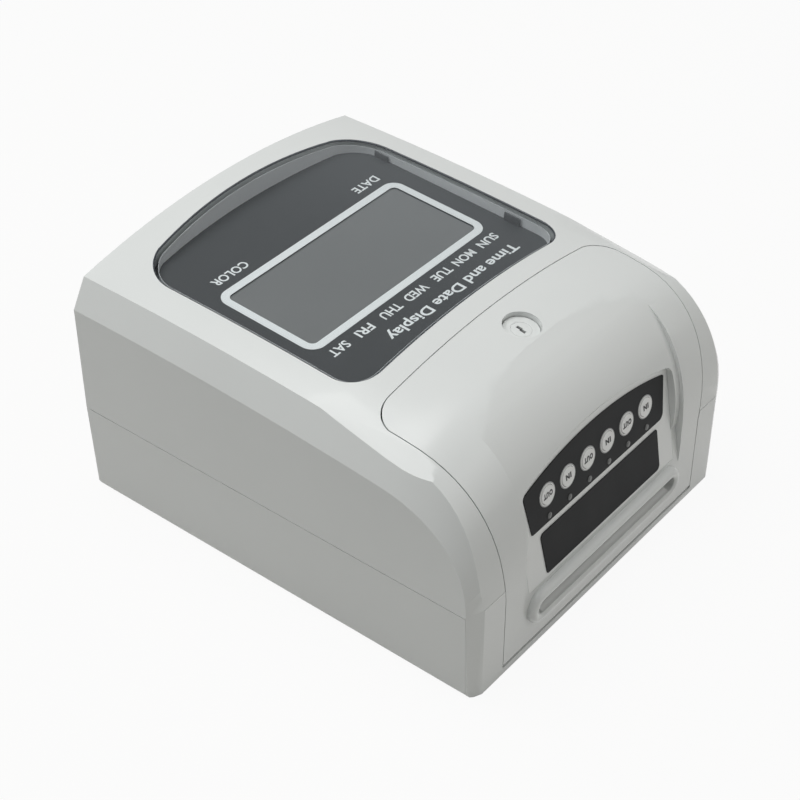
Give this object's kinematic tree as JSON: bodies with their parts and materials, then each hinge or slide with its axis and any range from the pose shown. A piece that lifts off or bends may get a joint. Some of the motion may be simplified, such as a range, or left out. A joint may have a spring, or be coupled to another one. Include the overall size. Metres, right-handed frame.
{
  "type": "time clock",
  "caption": "Wall or desk time clock with a crowned plastic case, clear display window, locked hinged door with punch buttons and a card slot, and a card printer inside.",
  "frame": {"origin": "middle of the bounding box on the floor under the back of the case", "axes": "+Z out of the back towards the display face, +Y along the case from the card slot end to the far end that carries the feet, +X across the case"},
  "size_m": [0.168, 0.197, 0.11],
  "materials": {
    "case_plastic": "smooth gloss moulding",
    "panel_plastic": "smooth moulding",
    "label_black": "printed film",
    "key_plastic": "moulded cap",
    "light_plastic": "diffusing light pipe",
    "lock_metal": "plated",
    "clear_window": "clear moulding",
    "face_print": "printed sheet",
    "display_glass": "unlit display",
    "circuit_board": "coated board",
    "black_plastic": "moulded",
    "power_metal": "varnished laminations",
    "battery_wrap": "shrink wrap",
    "steel": "plated sheet and rod",
    "guide_metal": "dark coated sheet",
    "motor_metal": "plated can",
    "pulley_plastic": "natural acetal",
    "rubber": "moulded rubber",
    "head_metal": "dark anodised",
    "ribbon_fabric": "inked woven ribbon"
  },
  "bodies": {
    "case": {"rear_cover": "case_plastic", "front_cover": "case_plastic", "hinge_pins": "steel", "lens": "clear_window", "face_panel": "face_print", "display": "display_glass", "display_board": "circuit_board", "main_board": "circuit_board", "board_parts": "black_plastic", "buzzer": "black_plastic", "power_unit": "power_metal", "battery": "battery_wrap", "inlet": "black_plastic", "chassis": "steel", "card_guide": "guide_metal", "guide_cover": "guide_metal", "card_sensor": "black_plastic", "feed_motor": "motor_metal", "feed_belt": "rubber", "guide_rod": "steel", "carriage_motor": "motor_metal", "ribbon_case": "black_plastic", "ribbon": "ribbon_fabric", "chassis_screws": "steel", "cover_screws": "steel", "board_screws": "steel", "feet": "rubber"},
    "door_unit": {"door": "case_plastic", "card_chute": "case_plastic", "key_panel": "panel_plastic", "key_label": "label_black", "blank_label": "label_black", "key_board": "circuit_board", "key_switches": "black_plastic", "key_lights": "light_plastic", "lock_barrel": "lock_metal", "lock_nut": "lock_metal"},
    "lock_unit": {"lock_plug": "lock_metal"},
    "feed_unit": {"feed_shaft": "steel", "feed_rollers": "rubber", "feed_pulley": "pulley_plastic"},
    "motor_unit": {"motor_pulley": "pulley_plastic"},
    "pinch_unit": {"pinch_shaft": "steel", "pinch_rollers": "rubber"},
    "carriage_unit": {"carriage": "black_plastic", "print_head": "head_metal"},
    "screw_unit": {"lead_screw": "steel"},
    "knob_unit": {"ribbon_knob": "pulley_plastic"},
    "button_1": {"key_1": "key_plastic"},
    "button_2": {"key_2": "key_plastic"},
    "button_3": {"key_3": "key_plastic"},
    "button_4": {"key_4": "key_plastic"},
    "button_5": {"key_5": "key_plastic"},
    "button_6": {"key_6": "key_plastic"}
  },
  "joints": [
    {"name": "door_hinge", "type": "hinge", "parent": "case", "child": "door_unit", "pos_m": [0, -0.0938, 0.0048], "axis": [1, 0, 0], "range_deg": [0, 80]},
    {"name": "lock_turn", "type": "hinge", "parent": "door_unit", "child": "lock_unit", "pos_m": [0, -0.0528, 0.10257], "axis": [0, -0.1305, 0.9914], "range_deg": [0, 90]},
    {"name": "button_1_press", "type": "slide", "parent": "door_unit", "child": "button_1", "axis": [0, 0.9842, -0.1771], "range_m": [0, 0.0012], "stiffness_N_per_m": 500, "springref_m": -0.0004},
    {"name": "button_2_press", "type": "slide", "parent": "door_unit", "child": "button_2", "axis": [0, 0.9842, -0.1771], "range_m": [0, 0.0012], "stiffness_N_per_m": 500, "springref_m": -0.0004},
    {"name": "button_3_press", "type": "slide", "parent": "door_unit", "child": "button_3", "axis": [0, 0.9842, -0.1771], "range_m": [0, 0.0012], "stiffness_N_per_m": 500, "springref_m": -0.0004},
    {"name": "button_4_press", "type": "slide", "parent": "door_unit", "child": "button_4", "axis": [0, 0.9842, -0.1771], "range_m": [0, 0.0012], "stiffness_N_per_m": 500, "springref_m": -0.0004},
    {"name": "button_5_press", "type": "slide", "parent": "door_unit", "child": "button_5", "axis": [0, 0.9842, -0.1771], "range_m": [0, 0.0012], "stiffness_N_per_m": 500, "springref_m": -0.0004},
    {"name": "button_6_press", "type": "slide", "parent": "door_unit", "child": "button_6", "axis": [0, 0.9842, -0.1771], "range_m": [0, 0.0012], "stiffness_N_per_m": 500, "springref_m": -0.0004},
    {"name": "feed_turn", "type": "hinge", "parent": "case", "child": "feed_unit", "pos_m": [0, -0.0495, 0.0141], "axis": [1, 0, 0], "continuous": true},
    {"name": "motor_turn", "type": "hinge", "parent": "case", "child": "motor_unit", "pos_m": [0.06, -0.0335, 0.038], "axis": [1, 0, 0], "continuous": true},
    {"name": "pinch_turn", "type": "hinge", "parent": "case", "child": "pinch_unit", "pos_m": [0, -0.0495, 0.0253], "axis": [1, 0, 0], "continuous": true},
    {"name": "carriage_slide", "type": "slide", "parent": "case", "child": "carriage_unit", "axis": [1, 0, 0], "range_m": [-0.022, 0.022]},
    {"name": "screw_turn", "type": "hinge", "parent": "case", "child": "screw_unit", "pos_m": [0, 0.0085, 0.04], "axis": [1, 0, 0], "range_deg": [-1000, 1000]},
    {"name": "knob_turn", "type": "hinge", "parent": "case", "child": "knob_unit", "pos_m": [0.03, 0.025, 0.04], "axis": [0, 0, 1], "continuous": true}
  ],
  "couplings": [
    {"joint": "motor_turn", "follows": "feed_turn", "ratio": 1.8},
    {"joint": "pinch_turn", "follows": "feed_turn", "ratio": -1.12},
    {"joint": "screw_turn", "follows": "carriage_slide", "rad_per_m": 785.4}
  ]
}
